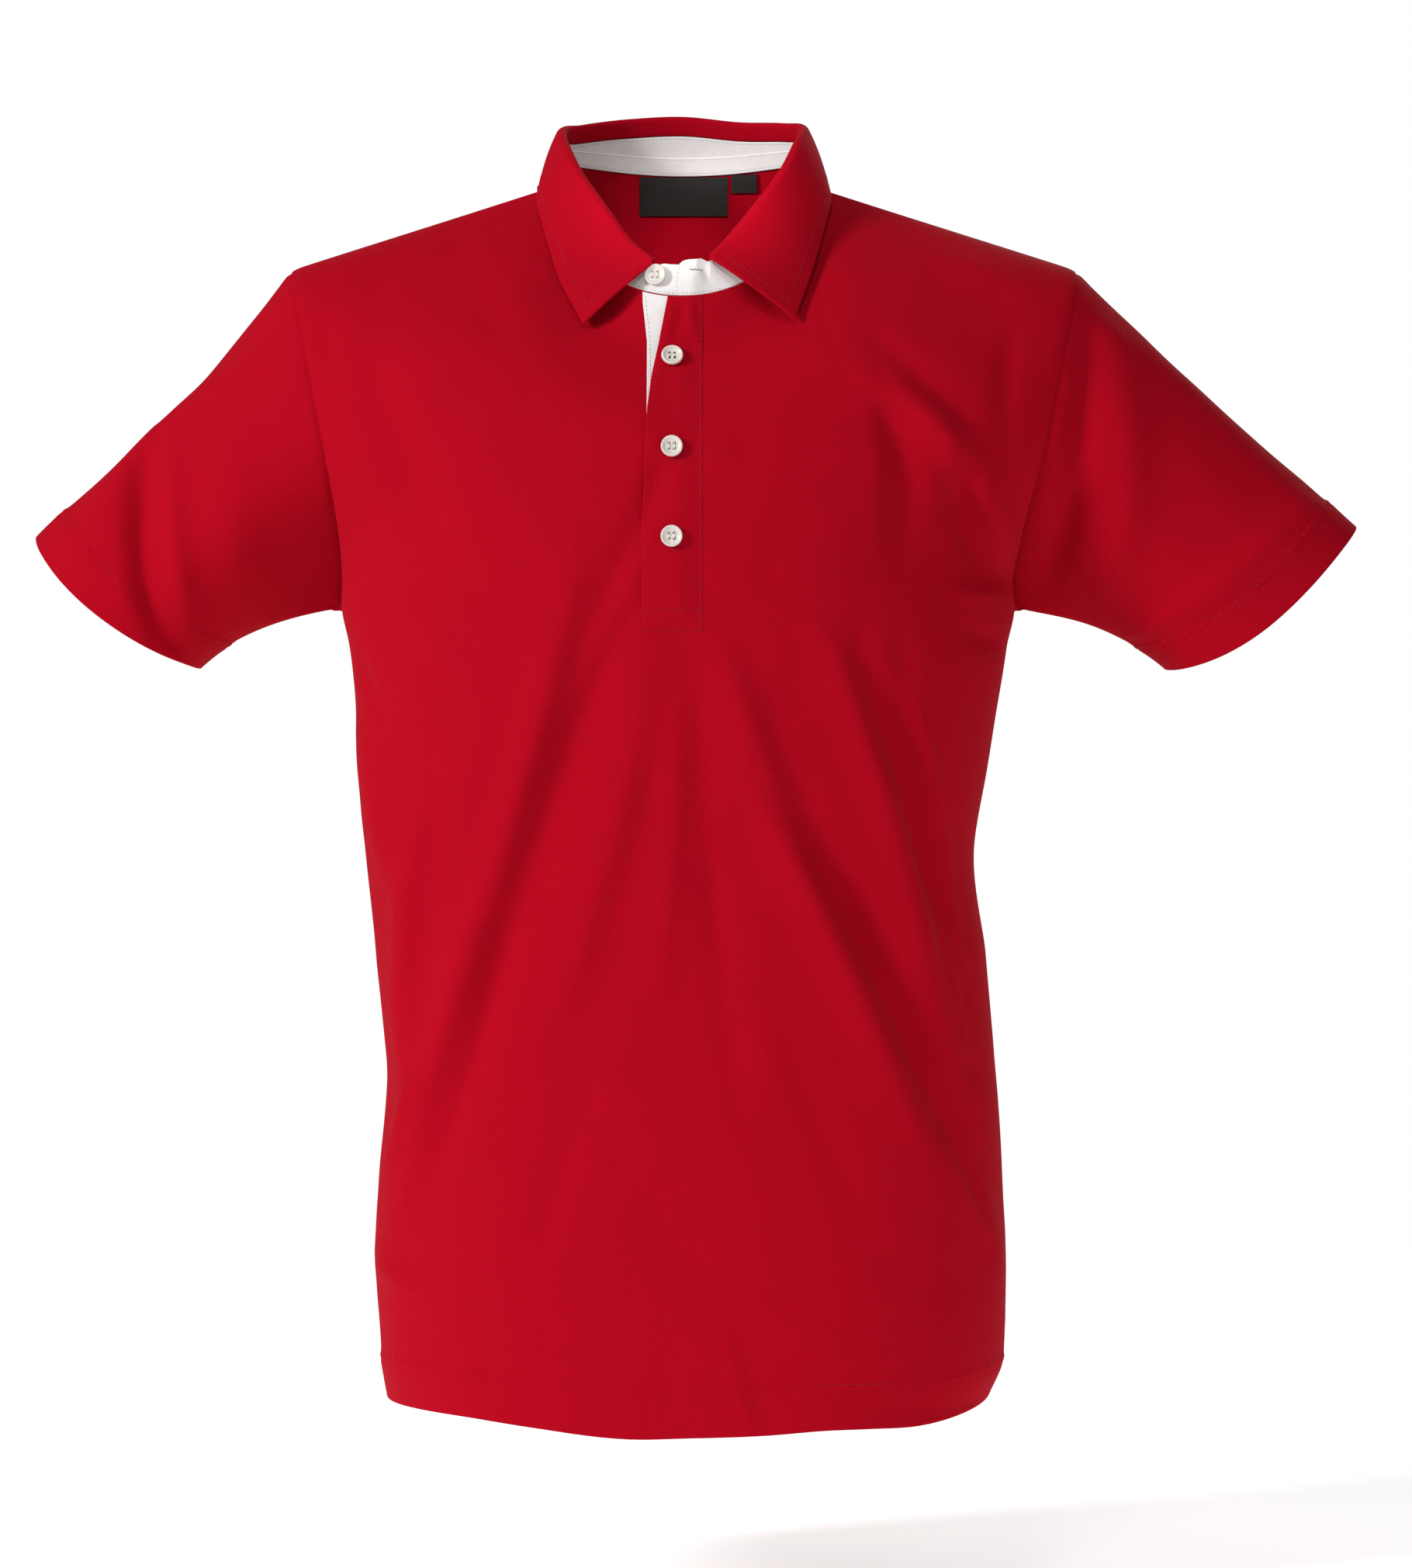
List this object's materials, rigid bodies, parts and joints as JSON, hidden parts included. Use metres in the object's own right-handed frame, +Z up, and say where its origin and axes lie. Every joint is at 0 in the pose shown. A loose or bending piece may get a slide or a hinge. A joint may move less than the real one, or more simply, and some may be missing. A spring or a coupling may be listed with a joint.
{
  "type": "polo shirt",
  "caption": "Short-sleeved polo shirt filled out as if worn: folded collar with a white stand, part-open buttoned placket, open neck, hem and cuffs",
  "frame": {"origin": "on the centre plane at the height of the two neck points of the shoulder seams, on the shoulder line, where the wearer's shoulders carry it", "axes": "+Z up, the front faces -Y, +X is the wearer's left"},
  "size_m": [0.7602, 0.2428, 0.7499],
  "materials": {
    "red_pique": "soft cotton pique knit, matt with a faint nap",
    "white_twill": "fine cotton twill, matt",
    "black_satin": "woven satin label, bare",
    "pearl": "pearly polyester button"
  },
  "bodies": {
    "root": {"front_body": "red_pique", "back_body": "red_pique", "sleeve_left": "red_pique", "sleeve_right": "red_pique", "collar_fall": "red_pique", "placket_top": "red_pique", "placket_under": "white_twill", "collar_stand": "white_twill", "neck_tape": "white_twill", "label_main": "black_satin", "label_size": "black_satin", "button_stand": "pearl", "button_1": "pearl", "button_2": "pearl", "button_3": "pearl"}
  },
  "joints": []
}
